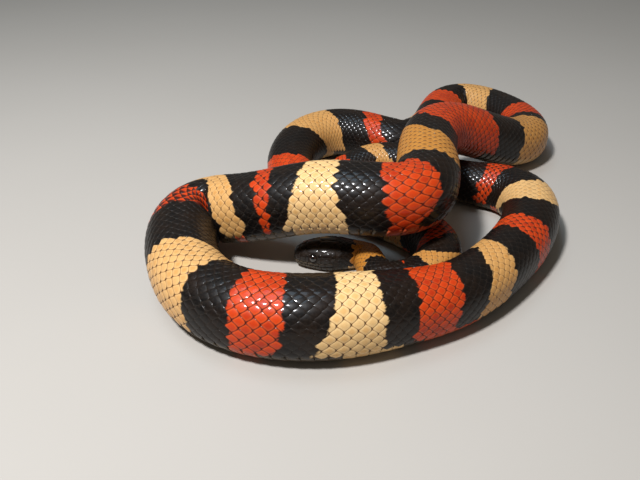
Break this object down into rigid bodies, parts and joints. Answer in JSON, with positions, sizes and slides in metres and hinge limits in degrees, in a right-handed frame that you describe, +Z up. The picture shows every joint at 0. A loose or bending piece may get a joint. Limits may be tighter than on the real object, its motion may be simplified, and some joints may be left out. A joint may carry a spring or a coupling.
{
  "type": "milk snake",
  "caption": "Milk snake lying in a loose pile of coils with its head on the floor under the upper coil, a still life-size model.",
  "frame": {"origin": "on the floor, below the middle of the whole pile of coils", "axes": "+Z up; -Y towards the front coil, the side the picture was taken from; +X to the right as seen from there"},
  "size_m": [0.1612, 0.196, 0.0381],
  "materials": {
    "glossy_black": "glossy black snake scales",
    "cream_scales": "satin cream-yellow snake scales with darker edges",
    "red_scales": "satin orange-red snake scales with dark tips",
    "eye": "dark glassy eye"
  },
  "bodies": {
    "root": {"head": "glossy_black", "eye_left": "eye", "eye_right": "eye", "neck": "cream_scales", "forebody": "glossy_black", "hidden_link": "red_scales", "right_loop": "red_scales", "front_coil_right": "glossy_black", "front_coil_left": "red_scales", "left_bend": "cream_scales", "upper_coil": "glossy_black", "crossing": "red_scales", "climb": "red_scales", "far_bend": "cream_scales", "far_coil": "glossy_black", "back_coil": "cream_scales", "tail_base": "glossy_black", "tail": "glossy_black"}
  },
  "joints": []
}
